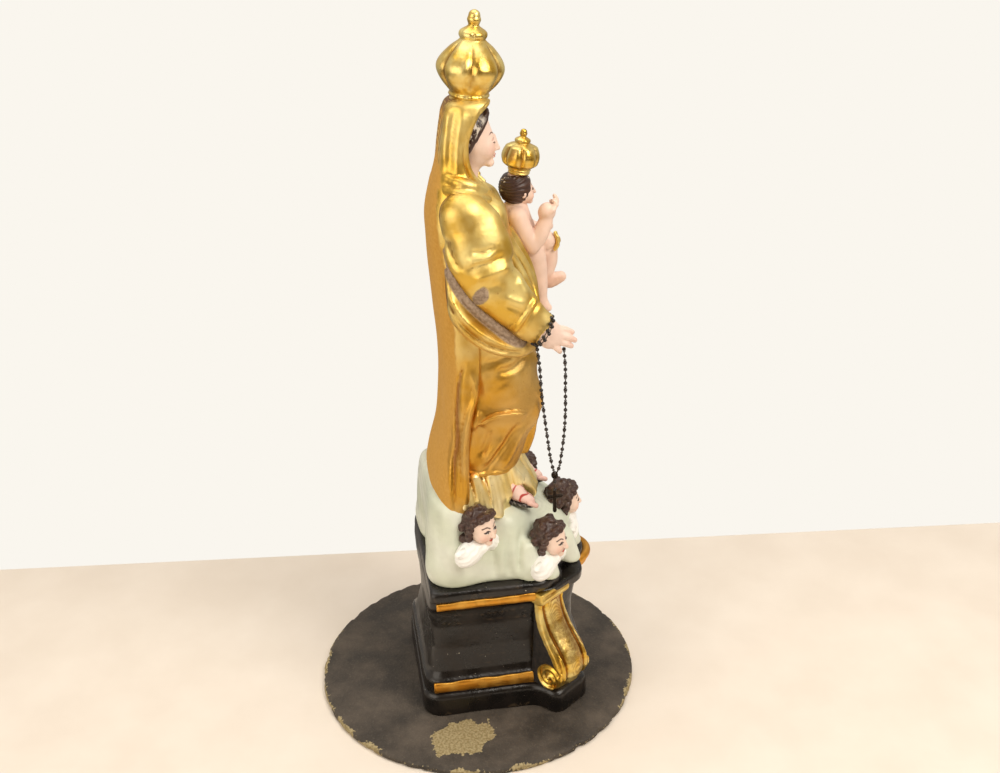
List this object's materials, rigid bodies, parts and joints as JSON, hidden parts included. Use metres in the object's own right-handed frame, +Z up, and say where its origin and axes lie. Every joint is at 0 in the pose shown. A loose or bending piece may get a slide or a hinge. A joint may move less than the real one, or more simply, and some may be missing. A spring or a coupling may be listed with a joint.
{
  "type": "crowned madonna and child statue with rosary",
  "caption": "Crowned Madonna with Child standing on a cloud of cherub heads, on a scroll pedestal and round board, with lift-off crowns and a hanging rosary.",
  "frame": {"origin": "centre of the round board's underside", "axes": "+Z up; the Virgin faces -Y and her right hand is towards -X"},
  "size_m": [0.25, 0.25, 0.5228],
  "materials": {
    "board_paint": "worn dark grey-brown paint with a beige chipped edge",
    "black_paint": "semi-gloss black paint with small chips",
    "gold_leaf": "burnished gold leaf on gesso",
    "ochre_gilding": "matte ochre bole and dull gilding",
    "cloud_paint": "pale green-white matte paint",
    "flesh_paint": "satin pink flesh paint",
    "hair_paint": "satin dark brown paint with white chips",
    "sandal_paint": "black paint",
    "dowel_wood": "bare turned wood",
    "bead_black": "polished black bead",
    "rosary_wire": "dark tarnished wire"
  },
  "bodies": {
    "statue": {"round_board": "board_paint", "pedestal_plinth": "black_paint", "pedestal_die": "black_paint", "pedestal_cornice": "black_paint", "lower_fillet_right": "gold_leaf", "lower_fillet_left": "gold_leaf", "upper_fillet_right": "gold_leaf", "upper_fillet_left": "gold_leaf", "front_moulding": "gold_leaf", "scroll_console_right": "gold_leaf", "scroll_console_left": "gold_leaf", "cloud": "cloud_paint", "cherub_right_back": "flesh_paint", "cherub_right_front": "flesh_paint", "cherub_front": "flesh_paint", "cherub_left": "flesh_paint", "foot_right": "flesh_paint", "foot_left": "flesh_paint", "sandal_right": "sandal_paint", "sandal_left": "sandal_paint", "under_robe": "gold_leaf", "robe": "gold_leaf", "mantle": "ochre_gilding", "mantle_swag": "gold_leaf", "veil": "gold_leaf", "virgin_head": "flesh_paint", "sleeve_right": "gold_leaf", "sleeve_left": "gold_leaf", "hand_right_dowel": "dowel_wood", "hand_right": "flesh_paint", "hand_left": "flesh_paint", "child_torso": "flesh_paint", "child_head": "hair_paint", "child_arm_right": "flesh_paint", "child_arm_left": "flesh_paint", "child_leg_right": "flesh_paint", "child_leg_left": "flesh_paint", "child_cloth": "gold_leaf", "crown_dowel": "dowel_wood", "child_crown_dowel": "dowel_wood", "rosary_wrap_chain": "rosary_wire", "rosary_wrap_beads": "bead_black"},
    "virgin_crown": {"virgin_crown": "gold_leaf"},
    "child_crown": {"child_crown": "gold_leaf"},
    "rosary_loop": {"rosary_loop_chain": "rosary_wire", "rosary_loop_beads": "bead_black", "rosary_medal": "rosary_wire"},
    "rosary_drop": {"rosary_drop_chain": "rosary_wire", "rosary_drop_beads": "bead_black", "rosary_cross": "rosary_wire"}
  },
  "joints": [
    {"name": "virgin_crown_lift", "type": "slide", "parent": "statue", "child": "virgin_crown", "axis": [0, -0.1045, 0.9945], "range_m": [0, 0.014]},
    {"name": "child_crown_lift", "type": "slide", "parent": "statue", "child": "child_crown", "axis": [0, -0.1392, 0.9903], "range_m": [0, 0.009]},
    {"name": "rosary_swing", "type": "hinge", "parent": "statue", "child": "rosary_loop", "pos_m": [-0.042, -0.044, 0.303], "axis": [0, 0.9785, 0.206], "range_deg": [-8, 30]},
    {"name": "drop_swing", "type": "hinge", "parent": "rosary_loop", "child": "rosary_drop", "pos_m": [-0.042, -0.056, 0.1966], "axis": [1, 0, 0], "range_deg": [-15, 15]}
  ]
}
